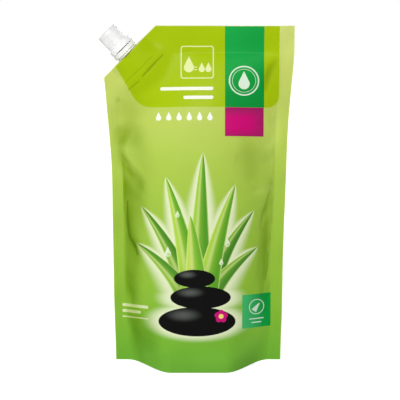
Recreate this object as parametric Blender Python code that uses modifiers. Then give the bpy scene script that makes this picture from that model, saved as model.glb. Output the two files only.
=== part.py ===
# Stand-up refill pouch for liquid soap, with a spout in its cut corner and a screw cap.
# Metres, +Z up. The origin is the middle of the base, on the surface it stands on, and the
# printed front faces -Y. The pouch is full and sealed, so film and contents are one solid.

import math

import bmesh
import bpy
from mathutils import Vector

# The filled pouch.
PACK_HEIGHT = 0.286  # top edge above the floor
FILM_WIDTH = 0.158  # flat width of the film, edge to edge
FILM = 0.0002  # one layer of laminate
SIDE_SEAL = 0.010
TOP_SEAL = 0.0225
SPOUT_SEAL = 0.021  # seal along the cut corner, measured square to the cut
CORNER_CUT = 0.044  # leg of the 45 degree cut
BASE_HALF_DEPTH = 0.0288  # half of the filled depth at the foot
LEAN = 0.10  # share of the depth that is lost evenly on the way up
SHOULDER = 5.0  # how late the depth shrinks towards the top seal
TAPER = 0.72  # how bluntly it ends there
BASE_STRAIGHT = 0.38  # share of the half width where the foot's front edge runs straight
CUT_SLOPE = 0.060  # how far from the cut's seal the pouch reaches its full depth

# The gusset folded into the base.
GUSSET_HEIGHT = 0.040  # its fold at the side seals
SKIRT_SEAL = 0.007  # its seal at the middle of the foot
CORNER_LIFT = 0.0035  # the sealed corners stand this far off the floor
FLOOR_SHARE = 0.5  # share of the half width that lies on the floor
FLOOR_FROM = 0.6  # share of the way inwards at which the gusset reaches the floor

# The spout, in its own frame: +Z points out of the pouch and 0 is the cut edge of the film.
SPOUT_FROM_TOP = 0.0316  # its axis, along the cut from the upper end
BORE = 0.0052  # radius
NECK_WALL = 0.0018
TUBE_WALL = 0.0012
TUBE_DEPTH = 0.020  # the tube reaches this far into the pouch
BOAT_HALF_LENGTH = 0.017  # the boat is the lens-shaped base that the film is welded to
BOAT_WALL = 0.0002  # beside the tube
BOAT_DEPTH = 0.014
FLANGE_RIM = 0.0034  # it stands out from the neck by this
FLANGE_FOOT = 0.0006  # gap between the film's edge and the flange
FLANGE_THICK = 0.0012
RETAINER_BEAD = 0.0011  # bead that keeps the ring on the neck

# The cap and its tamper ring.
CLEARANCE = 0.0003  # between pieces that touch
RING_HEIGHT = 0.0035
RING_WALL = 0.0025
LIP_GAP = 0.0007  # between the neck and the ring's inner lip
BREAK_GAP = 0.0007  # between ring and cap
BRIDGES = 6
BRIDGE_WIDTH = 0.0012
CAP_WALL = 0.0018  # above its collar
CAP_TAPER = 0.0006  # its radius is this much less at its top
CAP_HEIGHT = 0.0187
CAP_TOP = 0.0015
CAP_EDGE = 0.0007  # rounding of the cap's upper edge
COLLAR_RIM = 0.0010  # the collar stands out from the ribs by this
COLLAR_HEIGHT = 0.0040
RIB_DEPTH = 0.00045
RIBS = 8  # in one group
RIB_GROUPS = 3
RIBS_START = math.radians(70)
LINER = 0.0010

# The screw thread, rounded in section.
THREAD_PITCH = 0.0030
THREAD_BEAD = 0.00065
THREAD_HEIGHT = 0.0008  # of its crest on the neck
THREAD_TURNS = 1.5
CAP_THREAD_TURNS = 1.0
THREAD_FROM_TOP = 0.0018

# Sizes that follow from these.
NECK = BORE + NECK_WALL
TUBE = BORE + TUBE_WALL
BOAT_HALF_WIDTH = TUBE + BOAT_WALL
FLANGE = NECK + FLANGE_RIM
FLANGE_TOP = FLANGE_FOOT + FLANGE_THICK
THREAD_CREST = NECK + THREAD_HEIGHT
RETAINER = NECK + RETAINER_BEAD
RING_INNER = RETAINER + 2 * CLEARANCE
RING_RADIUS = RING_INNER + RING_WALL
RING_FOOT = FLANGE_TOP + CLEARANCE
RING_TOP = RING_FOOT + RING_HEIGHT
CAP_INNER = THREAD_CREST + CLEARANCE
CAP_RADIUS = CAP_INNER + CAP_WALL
COLLAR_RADIUS = CAP_RADIUS + COLLAR_RIM
CAP_FOOT = RING_TOP + BREAK_GAP
CAP_CEILING = CAP_FOOT + CAP_HEIGHT - CAP_TOP
LINER_FOOT = CAP_CEILING - CLEARANCE - LINER
NECK_TOP = LINER_FOOT - CLEARANCE
THREAD_START = NECK_TOP - THREAD_FROM_TOP - THREAD_TURNS * THREAD_PITCH

ROUND = 40  # sides of a turned piece
FRONT_ROWS = 25
GUSSET_ROWS = 5
DIAGONAL = math.sqrt(2)

MATERIALS = {
    "printed_film": ((0.42, 0.60, 0.10, 1.0), 0.38),
    "white_plastic": ((0.86, 0.87, 0.86, 1.0), 0.35),
    "natural_plastic": ((0.80, 0.82, 0.78, 1.0), 0.30),
    "foam": ((0.90, 0.90, 0.88, 1.0), 0.80),
}


def smooth(share):
    share = min(1.0, max(0.0, share))
    return share * share * (3 - 2 * share)


# Shape of the filled pouch.


def half_depth(z):
    """Half of the pouch's depth on its centre line."""
    share = min(1.0, max(0.0, z / (PACK_HEIGHT - TOP_SEAL)))
    return BASE_HALF_DEPTH * (1 - LEAN * share) * (1 - share**SHOULDER) ** TAPER


def inner_half_width(z):
    """Half of the width between the side seals: the film bows out, so the chord is shorter than the film."""
    film = FILM_WIDTH - 2 * SIDE_SEAL
    bow = half_depth(z) / film
    return film / 4 * (1 + math.sqrt(1 - 32 / 3 * bow * bow))


def column_x(column, z):
    share, margin = column
    return share * inner_half_width(z) + margin


def cut_corner_x():
    return CORNER_CUT - FILM_WIDTH / 2


def top_line(x, inset):
    """Height of the line that runs inset below the top edge and the cut corner."""
    level = PACK_HEIGHT - inset
    slope = PACK_HEIGHT + x - cut_corner_x() - inset * DIAGONAL
    return min(level, slope)


def on_top_line(column, inset):
    z = PACK_HEIGHT - inset
    for _ in range(30):
        z = top_line(column_x(column, z), inset)
    return z


def spout_foot():
    """Where the spout's axis meets the cut edge."""
    step = SPOUT_FROM_TOP / DIAGONAL
    return Vector((cut_corner_x() - step, 0, PACK_HEIGHT - step))


def from_cut(x, z):
    """(distance along the cut from the spout's axis, distance inwards from the cut)."""
    foot = spout_foot()
    right, up = x - foot.x, z - foot.z
    return (right + up) / DIAGONAL, (right - up) / DIAGONAL


def boat_outline(along, half_length, half_width):
    share = min(1.0, abs(along) / half_length)
    return half_width * (1 - share * share)


def spout_swell(along, inwards):
    """The film stands off the centre plane where it is welded over the spout's boat."""
    wall = CLEARANCE + 3 * FILM
    swell = boat_outline(along, BOAT_HALF_LENGTH + 0.0025, BOAT_HALF_WIDTH + wall)
    fade = smooth((inwards - BOAT_DEPTH - 0.002) / (2 * TUBE_DEPTH))
    return swell * (1 - fade)


def bulge(x, z):
    """Half thickness of what the two films hold apart at this place, without the films."""
    share = min(1.0, abs(x) / inner_half_width(z))
    bow = 1 - share * share
    foot = smooth((1 - share) / (1 - BASE_STRAIGHT))
    section = foot + (bow - foot) * smooth(z / (1.25 * GUSSET_HEIGHT))
    along, inwards = from_cut(x, z)
    slope = min(1.0, max(0.0, (inwards - SPOUT_SEAL) / CUT_SLOPE))
    body = half_depth(z) * section * (1 - (1 - slope) ** 2)
    swell = spout_swell(along, inwards)
    return (body**3 + swell**3) ** (1 / 3)


def seam_share(column):
    return min(1.0, abs(column[0]))


def foot_height(column):
    """Height of the foot's edge: straight on the floor in the middle, lifted at the corners."""
    stands = smooth((1 - seam_share(column)) / (1 - BASE_STRAIGHT))
    return CORNER_LIFT * (1 - stands)


def skirt_height(column):
    """Height at which the gusset leaves the front film."""
    return SKIRT_SEAL + (GUSSET_HEIGHT - SKIRT_SEAL) * seam_share(column) ** 3.2


def gusset_height(column):
    """Height of the gusset on the centre plane: on the floor, and rising to the side seals."""
    rise = max(0.0, seam_share(column) - FLOOR_SHARE) / (1 - FLOOR_SHARE)
    return GUSSET_HEIGHT * rise * rise


def front_heights(column):
    """Heights from the top edge down to the foot."""
    heights = [on_top_line(column, TOP_SEAL * step / 3) for step in range(4)]
    high, low = heights[-1], foot_height(column)
    rows = range(1, FRONT_ROWS + 1)
    return heights + [high + (low - high) * row / FRONT_ROWS for row in rows]


def front_half_section(column, closing):
    """One upright section of the front half, from the top edge over the foot to the gusset's middle."""
    heights = front_heights(column)
    front = [(column_x(column, z), z) for z in heights]
    top, foot = front[0], front[-1]
    flat = 0.0 if closing else 1.0
    points = [Vector((top[0], 0, top[1]))]
    points += [Vector((x, -flat * (FILM + bulge(x, z)), z)) for x, z in front]
    high = skirt_height(column)
    inside = []
    for step in range(3):
        z = foot[1] + (high - foot[1]) * step / 2
        x = column_x(column, z)
        gap = bulge(x, z) - FILM
        inside.append((x, gap if gap > FILM / 2 else 0.0, z))
    low = gusset_height(column)
    seam = inside[-1][1]
    for step in range(1, GUSSET_ROWS + 1):
        way = step / GUSSET_ROWS
        sag = max(0.0, 1 - way / FLOOR_FROM) ** 2
        z = low + (high - low) * sag
        inside.append((column_x(column, z), seam * (1 - way), z))
    if closing:
        inside = [(foot[0], 0.0, foot[1])] * len(inside)
    return points + [Vector((x, -y, z)) for x, y, z in inside]


def pouch_columns():
    """Columns from left to right, closer together beside the spout."""
    left = [-1 + 0.66 * step / 13 for step in range(14)]
    right = [-0.34 + 1.34 * step / 15 for step in range(1, 16)]
    seal = [SIDE_SEAL, SIDE_SEAL / 2]
    columns = [(-1.0, -margin) for margin in seal]
    columns += [(share, 0.0) for share in left + right]
    columns += [(1.0, margin) for margin in reversed(seal)]
    return columns


# Tools for the solids.


def collection(name):
    made = bpy.data.collections.new(name)
    bpy.context.scene.collection.children.link(made)
    return made


def material(name):
    colour, roughness = MATERIALS[name]
    made = bpy.data.materials.get(name)
    if made is None:
        made = bpy.data.materials.new(name)
        made.use_nodes = True
        shader = made.node_tree.nodes["Principled BSDF"]
        shader.inputs["Base Color"].default_value = colour
        shader.inputs["Roughness"].default_value = roughness
        shader.inputs["Metallic"].default_value = 0.0
    return made


def new_object(name, data):
    made = bpy.data.objects.new(name, data)
    bpy.context.scene.collection.objects.link(made)
    return made


def from_bmesh(name, shape):
    data = bpy.data.meshes.new(name)
    shape.to_mesh(data)
    shape.free()
    return new_object(name, data)


def settled(made):
    """The object with its modifiers or its curve turned into one welded mesh that faces outwards."""
    bpy.context.view_layer.update()
    graph = bpy.context.evaluated_depsgraph_get()
    data = bpy.data.meshes.new_from_object(made.evaluated_get(graph))
    name, place = made.name, made.matrix_world.copy()
    bpy.data.objects.remove(made)
    shape = bmesh.new()
    shape.from_mesh(data)
    bmesh.ops.remove_doubles(shape, verts=shape.verts, dist=0.000002)
    bmesh.ops.recalc_face_normals(shape, faces=shape.faces)
    shape.to_mesh(data)
    shape.free()
    data.name = name
    result = new_object(name, data)
    result.matrix_world = place
    return result


def combined(target, tool, operation):
    """Target joined with, cut by or limited to tool, which is then removed."""
    modifier = target.modifiers.new(operation, "BOOLEAN")
    modifier.operation = operation
    modifier.solver = "EXACT"
    modifier.object = tool
    result = settled(target)
    bpy.data.objects.remove(tool)
    return result


def turned(name, profile, ring=False):
    """A body of revolution about Z. The profile runs down its outer side and back along its inner side."""
    data = bpy.data.meshes.new(name)
    points = [(radius, 0.0, z) for radius, z in profile]
    edges = [(i, i + 1) for i in range(len(points) - 1)]
    if ring:
        edges.append((len(points) - 1, 0))
    data.from_pydata(points, edges, [])
    made = new_object(name, data)
    screw = made.modifiers.new("turned", "SCREW")
    screw.steps = screw.render_steps = ROUND
    screw.use_merge_vertices = True
    screw.merge_threshold = 0.00001
    return settled(made)


def cylinder(name, radius, low, high):
    return turned(name, [(0, high), (radius, high), (radius, low), (0, low)])


def prism(name, outline, low, high):
    """A flat outline raised from low to high."""
    data = bpy.data.curves.new(name, "CURVE")
    data.dimensions = "2D"
    data.fill_mode = "BOTH"
    data.extrude = (high - low) / 2
    spline = data.splines.new("POLY")
    spline.points.add(len(outline) - 1)
    for point, (x, y) in zip(spline.points, outline):
        point.co = (x, y, 0, 1)
    spline.use_cyclic_u = True
    made = new_object(name, data)
    made.location.z = (high + low) / 2
    made = settled(made)
    made.data.transform(made.matrix_world)
    made.matrix_world.identity()
    return made


def thread(name, radius, start, turns):
    """A rounded thread bead around Z that runs out at both ends."""
    data = bpy.data.curves.new(name, "CURVE")
    data.dimensions = "3D"
    data.bevel_depth = THREAD_BEAD
    data.bevel_resolution = 2
    data.use_fill_caps = True
    steps = round(turns * 24)
    spline = data.splines.new("POLY")
    spline.points.add(steps)
    for step, point in enumerate(spline.points):
        turn = step / 24
        angle = 2 * math.pi * turn
        height = start + THREAD_PITCH * turn
        point.co = (radius * math.cos(angle), radius * math.sin(angle), height, 1)
        point.radius = min(1.0, 0.45 + 0.28 * min(step, steps - step))
    return settled(new_object(name, data))


def finished(made, slot, home, parent=None):
    """Gives a piece its material, smooth shading, collection and parent."""
    made.data.materials.clear()
    made.data.materials.append(material(slot))
    made.data.shade_smooth()
    made.data.set_sharp_from_angle(angle=math.radians(30))
    for old in list(made.users_collection):
        old.objects.unlink(made)
    home.objects.link(made)
    if parent is not None:
        made.parent = parent
    return made


# The pieces.


def boat_prism(name, grow, low, high):
    """The lens-shaped weld base, grown by a clearance."""
    half_length = BOAT_HALF_LENGTH + 2.5 * grow
    half_width = BOAT_HALF_WIDTH + grow
    steps = 16
    upper = []
    for step in range(steps):
        along = half_length * (1 - 2 * step / steps)
        upper.append((along, boat_outline(along, half_length, half_width)))
    lower = [(-x, -y) for x, y in upper]
    return prism(name, upper + lower, low, high)


def make_pouch(home, spout_place):
    columns = pouch_columns()
    sections = [front_half_section(columns[0], True)]
    sections += [front_half_section(column, False) for column in columns]
    sections.append(front_half_section(columns[-1], True))
    shape = bmesh.new()
    rows = [[shape.verts.new(point) for point in section] for section in sections]
    for left, right in zip(rows, rows[1:]):
        for i in range(len(left) - 1):
            shape.faces.new((left[i], left[i + 1], right[i + 1], right[i]))
    bmesh.ops.remove_doubles(shape, verts=shape.verts, dist=0.000005)
    on_plane = [f for f in shape.faces if all(abs(v.co.y) < 1e-7 for v in f.verts)]
    bmesh.ops.delete(shape, geom=on_plane, context="FACES")
    loose = [v for v in shape.verts if not v.link_faces]
    bmesh.ops.delete(shape, geom=loose, context="VERTS")
    pouch = from_bmesh("pouch", shape)
    mirror = pouch.modifiers.new("back", "MIRROR")
    mirror.use_axis = (False, True, False)
    mirror.use_mirror_merge = True
    mirror.merge_threshold = 0.00002
    pouch = settled(pouch)
    for pocket in (
        boat_prism("boat_pocket", CLEARANCE, -BOAT_DEPTH - CLEARANCE, 0.004),
        cylinder("tube_pocket", TUBE + CLEARANCE, -TUBE_DEPTH - CLEARANCE, -0.004),
    ):
        pocket.matrix_world = spout_place
        pouch = combined(pouch, pocket, "DIFFERENCE")
    return finished(pouch, "printed_film", home)


def make_spout(home, parent):
    profile = [
        (0, NECK_TOP),
        (NECK - 0.0005, NECK_TOP),
        (NECK, NECK_TOP - 0.0005),
        (NECK, RING_TOP + 0.0003),
        (RETAINER, RING_TOP - 0.0003),
        (RETAINER, RING_TOP - 0.0009),
        (NECK, RING_TOP - 0.0011),
        (NECK, FLANGE_TOP),
        (FLANGE, FLANGE_TOP),
        (FLANGE, FLANGE_FOOT),
        (TUBE, FLANGE_FOOT),
        (TUBE, -TUBE_DEPTH),
        (0, -TUBE_DEPTH),
    ]
    spout = turned("spout", profile)
    boat = boat_prism("boat", 0.0, -BOAT_DEPTH, 0.0)
    spout = combined(spout, boat, "UNION")
    bead = THREAD_CREST - THREAD_BEAD
    spout = combined(spout, thread("neck_thread", bead, THREAD_START, THREAD_TURNS), "UNION")
    bore = cylinder("bore", BORE, -TUBE_DEPTH - 0.01, NECK_TOP + 0.01)
    spout = combined(spout, bore, "DIFFERENCE")
    return finished(spout, "natural_plastic", home, parent)


def make_ring(home, parent):
    low, high = RING_FOOT, RING_TOP
    lip = NECK + LIP_GAP
    profile = [
        (RING_INNER, high),
        (RING_RADIUS - 0.0003, high),
        (RING_RADIUS, high - 0.0003),
        (RING_RADIUS, low),
        (lip, low),
        (lip, low + 0.0009),
        (RING_INNER, low + 0.0017),
    ]
    ring = turned("tamper_ring", profile, ring=True)
    tip = high + BREAK_GAP - CLEARANCE
    middle = RING_RADIUS - RING_WALL / 2
    half = BRIDGE_WIDTH / 2
    shape = bmesh.new()
    for number in range(BRIDGES):
        angle = 2 * math.pi * number / BRIDGES
        cube = bmesh.ops.create_cube(shape, size=1.0)["verts"]
        size = (RING_WALL / 2, 2 * half, 2 * (tip - high))
        bmesh.ops.scale(shape, vec=size, verts=cube)
        bmesh.ops.translate(shape, vec=(middle, 0, high), verts=cube)
        turn = Vector((math.cos(angle), math.sin(angle), 0))
        for vert in cube:
            out, side = vert.co.x, vert.co.y
            vert.co.x = out * turn.x - side * turn.y
            vert.co.y = out * turn.y + side * turn.x
    bridges = from_bmesh("bridges", shape)
    ring = combined(ring, bridges, "UNION")
    return finished(ring, "white_plastic", home, parent)


def grip_outline():
    """The cap's outline: groups of ribs between smooth panels."""
    group = math.pi / RIB_GROUPS
    pitch = group / RIBS
    root = CAP_RADIUS - RIB_DEPTH
    polar = []
    for number in range(RIB_GROUPS):
        start = RIBS_START + 2 * group * number
        for rib in range(RIBS):
            angle = start + pitch * rib
            polar += [(angle + 0.15 * pitch, root), (angle + 0.40 * pitch, CAP_RADIUS)]
            polar += [(angle + 0.75 * pitch, CAP_RADIUS), (angle + 1.0 * pitch, root)]
        smooth_steps = 6
        for step in range(1, smooth_steps):
            polar.append((start + group * (1 + step / smooth_steps), CAP_RADIUS))
    return [(radius * math.cos(angle), radius * math.sin(angle)) for angle, radius in polar]


def make_cap(home, parent):
    low = CAP_FOOT
    high = low + CAP_HEIGHT
    shoulder = low + COLLAR_HEIGHT
    cap = prism("cap", grip_outline(), low + 0.001, high)
    for vert in cap.data.vertices:
        narrower = 1 - CAP_TAPER / CAP_RADIUS * (vert.co.z - low) / CAP_HEIGHT
        vert.co.x *= narrower
        vert.co.y *= narrower
    top_radius = CAP_RADIUS - CAP_TAPER
    steps = 3
    rounding = []
    for step in range(steps + 1):
        angle = math.pi / 2 * (1 - step / steps)
        radius = top_radius - CAP_EDGE + CAP_EDGE * math.cos(angle)
        rounding.append((radius, high - CAP_EDGE + CAP_EDGE * math.sin(angle)))
    wide = CAP_RADIUS + CAP_TAPER
    envelope = turned("envelope", [(0, high)] + rounding + [(wide, shoulder), (wide, low), (0, low)])
    cap = combined(cap, envelope, "INTERSECT")
    collar = turned(
        "collar",
        [
            (0, shoulder),
            (COLLAR_RADIUS - 0.0006, shoulder),
            (COLLAR_RADIUS - 0.0002, shoulder - 0.0004),
            (COLLAR_RADIUS, low),
            (0, low),
        ],
    )
    cap = combined(cap, collar, "UNION")
    wide = CAP_INNER + COLLAR_RIM
    inside = turned(
        "inside",
        [
            (0, CAP_CEILING),
            (CAP_INNER, CAP_CEILING),
            (CAP_INNER, low + 0.0025),
            (wide, low + 0.0012),
            (wide, low - 0.001),
            (0, low - 0.001),
        ],
    )
    cap = combined(cap, inside, "DIFFERENCE")
    bead = NECK + CLEARANCE + THREAD_BEAD
    start = THREAD_START - THREAD_PITCH / 2
    cap = combined(cap, thread("cap_thread", bead, start, CAP_THREAD_TURNS), "UNION")
    return finished(cap, "white_plastic", home, parent)


def make_liner(home, parent):
    liner = cylinder("cap_liner", CAP_INNER - 2 * CLEARANCE, LINER_FOOT, LINER_FOOT + LINER)
    return finished(liner, "foam", home, parent)


def main():
    for old in list(bpy.data.objects):
        bpy.data.objects.remove(old)
    home = collection("soap_refill_pack")
    axis = new_object("spout_axis", None)
    axis.location = spout_foot()
    axis.rotation_euler = (0, -math.pi / 4, 0)
    bpy.context.view_layer.update()
    make_pouch(home, axis.matrix_world.copy())
    make_spout(home, axis)
    make_ring(home, axis)
    make_cap(home, axis)
    make_liner(home, axis)


main()
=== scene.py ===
# Dresses the soap refill pack: printed film pouch, spout, tamper ring and screw cap.

import math

import bmesh
import bpy
import numpy as np
from mathutils import Matrix, Vector


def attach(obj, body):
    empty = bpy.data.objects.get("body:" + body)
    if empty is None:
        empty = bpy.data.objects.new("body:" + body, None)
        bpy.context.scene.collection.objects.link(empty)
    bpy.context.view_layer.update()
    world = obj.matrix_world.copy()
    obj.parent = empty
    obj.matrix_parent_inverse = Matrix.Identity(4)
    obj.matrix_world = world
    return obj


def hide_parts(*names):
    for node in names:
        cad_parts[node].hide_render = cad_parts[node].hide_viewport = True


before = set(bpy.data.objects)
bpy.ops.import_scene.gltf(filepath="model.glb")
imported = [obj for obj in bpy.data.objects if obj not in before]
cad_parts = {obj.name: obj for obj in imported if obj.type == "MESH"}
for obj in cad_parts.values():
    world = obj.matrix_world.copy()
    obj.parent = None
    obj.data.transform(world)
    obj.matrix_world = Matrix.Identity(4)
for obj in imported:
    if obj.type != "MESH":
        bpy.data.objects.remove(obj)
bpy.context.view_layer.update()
print("frame loaded")


# Small helpers for operators and mesh data

def deselectAll():
    if bpy.context.object is not None and bpy.context.object.mode != "OBJECT":
        bpy.ops.object.mode_set(mode="OBJECT")
    bpy.ops.object.select_all(action="DESELECT")


def makeActive(piece):
    deselectAll()
    piece.select_set(True)
    bpy.context.view_layer.objects.active = piece


def addModifier(piece, kind, **settings):
    makeActive(piece)
    modifier = piece.modifiers.new(kind.lower(), kind)
    for name, value in settings.items():
        setattr(modifier, name, value)
    bpy.ops.object.modifier_apply(modifier=modifier.name)


def joinPieces(target, others):
    makeActive(target)
    for piece in others:
        piece.select_set(True)
    bpy.ops.object.join()
    return target


def openMesh(piece, action="SELECT"):
    # edit mode, with everything or nothing selected
    makeActive(piece)
    bpy.ops.object.mode_set(mode="EDIT")
    bpy.ops.mesh.select_all(action=action)


def closeMesh():
    bpy.ops.object.mode_set(mode="OBJECT")


def faceOut(piece):
    openMesh(piece)
    bpy.ops.mesh.remove_doubles(threshold=0.000002)
    bpy.ops.mesh.normals_make_consistent(inside=False)
    closeMesh()


def namedPiece(name):
    # the piece that an operator has just made, under its own name
    bpy.context.object.name = name
    return bpy.context.object


def setAttribute(mesh, name, kind, domain, values):
    mesh.attributes.new(name, kind, domain).data.foreach_set("value", values)


def smoothStep(share):
    share = np.clip(share, 0.0, 1.0)
    return share * share * (3 - 2 * share)


# The filled pouch: its film coordinates are u across from the middle and v up from the floor, in metres

lookDown = 10.37  # degrees at which the eye looks down on the pack

pouch = {
    "height": 0.286,
    "filmWidth": 0.158,
    "film": 0.0002,
    "sideSeal": 0.010,
    "topSeal": 0.0225,
    "spoutSeal": 0.021,
    "cornerCut": 0.044,
    "halfDepth": 0.0288,
    "lean": 0.10,
    "shoulder": 5.0,
    "taper": 0.72,
    "footStraight": 0.38,
    "cutSlope": 0.060,
    "gussetHeight": 0.040,
    "skirtSeal": 0.007,
    "cornerLift": 0.0035,
    "floorShare": 0.5,
    "floorFrom": 0.6,
    "columns": 122,  # across the film between the side seals
    "sealColumns": 7,
    "sealRows": 18,
    "bodyRows": 228,
    "skirtRows": 5,
    "gussetRows": 20,
    "belly": 2.45,  # 2 is a plain bow, more is flatter in the middle and steeper at the flanks
    "fullness": 0.0007,  # the filled body stands this much wider at each side
    "drift": 0.0007,  # and leans this much to the right above its middle
    "sealWave": 0.0007,  # how far the seals weave out of their plane
    "topBow": 0.0038,  # how far the top seal bows to the front
    "buckle": 0.00025,  # small buckles beside the side seals
}

spout = {
    "fromTop": 0.0316,
    "bore": 0.0052,
    "neck": 0.0070,
    "tube": 0.0064,
    "tubeDepth": 0.020,
    "boatHalfLength": 0.017,
    "boatHalfWidth": 0.0066,
    "boatDepth": 0.014,
    "flange": 0.0104,
    "flangeFoot": 0.0003,
    "flangeTop": 0.0018,
    "retainer": 0.0081,
    "rounding": 0.0003,
    "neckTop": 0.0219,
    "threadPitch": 0.0030,
    "threadBead": 0.00065,
    "threadStart": 0.0156,
    "threadTurns": 1.5,
    "threadCrest": 0.0078,
    "boatTop": -0.00005,
    "boatBore": 0.0058,
    "boatRibs": 6,
    "boatSides": 64,
    "boatGap": 0.0003,  # between the boat and the films over it
    "tightOver": 0.0025,  # the film is drawn tight this far beyond the boat's tips
    "wideOver": 0.012,  # and spreads this far where it eases into the body
    "easeFrom": 0.007,
    "easeOver": 0.014,
    "waist": 0.0140,
}

root2 = math.sqrt(2)
flatHalf = pouch["filmWidth"] / 2 - pouch["sideSeal"]  # of the film between the side seals
cutCornerX = pouch["cornerCut"] - pouch["filmWidth"] / 2
spoutFoot = Vector((cutCornerX - spout["fromTop"] / root2, 0, pouch["height"] - spout["fromTop"] / root2))
spoutPlace = Matrix.Translation(spoutFoot) @ Matrix.Rotation(-math.pi / 4, 4, "Y")


def halfDepth(z):
    share = np.clip(z / (pouch["height"] - pouch["topSeal"]), 0.0, 1.0)
    narrowing = (1 - share ** pouch["shoulder"]) ** pouch["taper"]
    return pouch["halfDepth"] * (1 - pouch["lean"] * share) * narrowing


def innerHalf(z):
    film = pouch["filmWidth"] - 2 * pouch["sideSeal"]
    return film / 4 * (1 + np.sqrt(1 - 32 / 3 * (halfDepth(z) / film) ** 2))


def filmShare(u, z):
    # share of the half chord at which the film's length from the middle is u
    steep = np.maximum(2 * halfDepth(z) / innerHalf(z), 1e-4)
    length = lambda s: 0.5 * (s * np.sqrt(1 + (steep * s) ** 2) + np.arcsinh(steep * s) / steep)
    goal = np.clip(np.abs(u) / flatHalf, 0.0, 1.0) * length(1.0)
    share = np.abs(u) / flatHalf
    for _ in range(6):
        share = share - (length(share) - goal) / np.sqrt(1 + (steep * share) ** 2)
    return np.clip(share, 0.0, 1.0)


def filmX(u, z):
    beyond = np.maximum(np.abs(u) - flatHalf, 0.0)
    return np.sign(u) * (filmShare(u, z) * innerHalf(z) + beyond)


def fromCut(x, z):
    right, up = x - spoutFoot.x, z - spoutFoot.z
    return (right + up) / root2, (right - up) / root2


def topLine(x, inset):
    slope = pouch["height"] + x - cutCornerX - inset * root2
    return np.minimum(pouch["height"] - inset, slope)


def onTopLine(u, inset):
    z = np.full_like(u, pouch["height"] - inset)
    for _ in range(40):
        z = 0.5 * z + 0.5 * topLine(filmX(u, z), inset)
    return z


def spoutSwell(along, inwards):
    # tight over the boat, then easing into the body
    wall = spout["boatGap"] + 3 * pouch["film"]
    share = np.clip(np.abs(along) / (spout["boatHalfLength"] + spout["tightOver"]), 0.0, 1.0)
    wide = np.clip(np.abs(along) / (spout["boatHalfLength"] + spout["wideOver"]), 0.0, 1.0)
    ease = smoothStep((inwards - spout["easeFrom"]) / spout["easeOver"])
    swell = (1 - share * share) * (1 - ease) + (1 - wide * wide) ** 2 * ease
    swell = swell * (spout["boatHalfWidth"] + wall)
    return swell * (1 - smoothStep((inwards - spout["boatDepth"] - 0.002) / (2 * spout["tubeDepth"])))


def bulge(x, z):
    share = np.clip(np.abs(x) / innerHalf(z), 0.0, 1.0)
    full = smoothStep((z - 0.02) / 0.04) * smoothStep((pouch["height"] - 0.035 - z) / 0.05)
    bow = 1 - share ** (2 + (pouch["belly"] - 2) * full)
    foot = smoothStep((1 - share) / (1 - pouch["footStraight"]))
    section = foot + (bow - foot) * smoothStep(z / (1.25 * pouch["gussetHeight"]))
    along, inwards = fromCut(x, z)
    slope = np.clip((inwards - pouch["spoutSeal"]) / pouch["cutSlope"], 0.0, 1.0)
    body = halfDepth(z) * section * (1 - (1 - slope) ** 2)
    return np.cbrt(body**3 + spoutSwell(along, inwards) ** 3)


# Creases and dents: kind, depth, width and a line through film points (u, v), in millimetres.
# A depth below 0 raises the film. Soft ones fade evenly, sharp ones end in a crisp line.

frontCreases = [
    # beside the spout, in line with the cut
    ("sharp", 0.55, 1.9, [(-46, 245), (-41, 250), (-35, 256), (-29, 262)]),
    ("sharp", 0.4, 1.6, [(-59, 233), (-54, 237), (-49, 241)]),
    ("sharp", 0.22, 1.6, [(-61, 239), (-54, 246), (-48, 251), (-38, 261)]),
    ("soft", 0.4, 1.4, [(-27, 270), (-26, 264)]),
    ("soft", 0.7, 1.8, [(-69, 225), (-67, 223)]),
    ("soft", 0.5, 1.8, [(-74, 214), (-71, 210)]),
    # left flank: a hollow under the shoulder, a fold running down from the seal, a long valley beside it
    ("soft", 1.9, 6.5, [(-72, 199), (-67, 195), (-61, 197), (-52, 203)]),
    ("soft", -1.1, 3.0, [(-67, 181), (-61, 175), (-53, 169), (-44, 158)]),
    ("soft", 1.4, 4.0, [(-69, 173), (-63, 166), (-55, 159), (-48, 149)]),
    ("soft", -0.7, 4.5, [(-64, 150), (-62, 130), (-62, 100), (-63, 78)]),
    ("sharp", 0.5, 1.2, [(-70, 180), (-67, 175), (-64, 172)]),
    ("sharp", 0.6, 3.2, [(-65, 140), (-66, 128), (-65, 117), (-62, 110), (-57, 103), (-55, 97)]),
    ("soft", 1.2, 3.6, [(-66, 70), (-65, 60), (-64, 50)]),
    # right flank: a wide hollow under the printed square, a soft fold, then a valley down the side
    ("soft", 2.4, 11.0, [(30, 178), (42, 176), (54, 171), (66, 165)]),
    ("soft", -1.1, 5.0, [(44, 156), (56, 155), (66, 157)]),
    ("soft", 1.2, 2.8, [(68, 151), (64, 142), (61, 132), (57, 120)]),
    ("soft", 1.1, 4.2, [(60, 132), (60, 107), (58, 80), (61, 56)]),
    ("sharp", 0.5, 1.4, [(66, 96), (65, 84), (63, 74)]),
    ("soft", 1.3, 4.5, [(64, 258), (60, 251), (58, 244), (56, 234)]),
]

backCreases = [
    ("soft", 1.6, 6.0, [(64, 212), (56, 203), (44, 197)]),
    ("soft", 1.6, 4.5, [(65, 176), (60, 158), (57, 140)]),
    ("sharp", 0.9, 1.9, [(62, 128), (54, 118), (47, 113)]),
    ("soft", 1.3, 4.2, [(63, 96), (60, 78), (61, 62)]),
    ("soft", 1.5, 7.0, [(-62, 190), (-52, 183), (-38, 181)]),
    ("soft", 1.3, 3.4, [(-64, 150), (-58, 139), (-50, 133)]),
    ("soft", 1.7, 4.8, [(-62, 120), (-61, 98), (-60, 82)]),
    ("sharp", 0.8, 2.0, [(-50, 243), (-40, 252), (-30, 260)]),
    ("soft", 0.9, 3.2, [(62, 250), (56, 240), (50, 234)]),
]

# Painted shade where the film folds away, and painted light where it is drawn tight, where the share is below
# 0: the share of the full tint, width and line of each stroke, all soft

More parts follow.
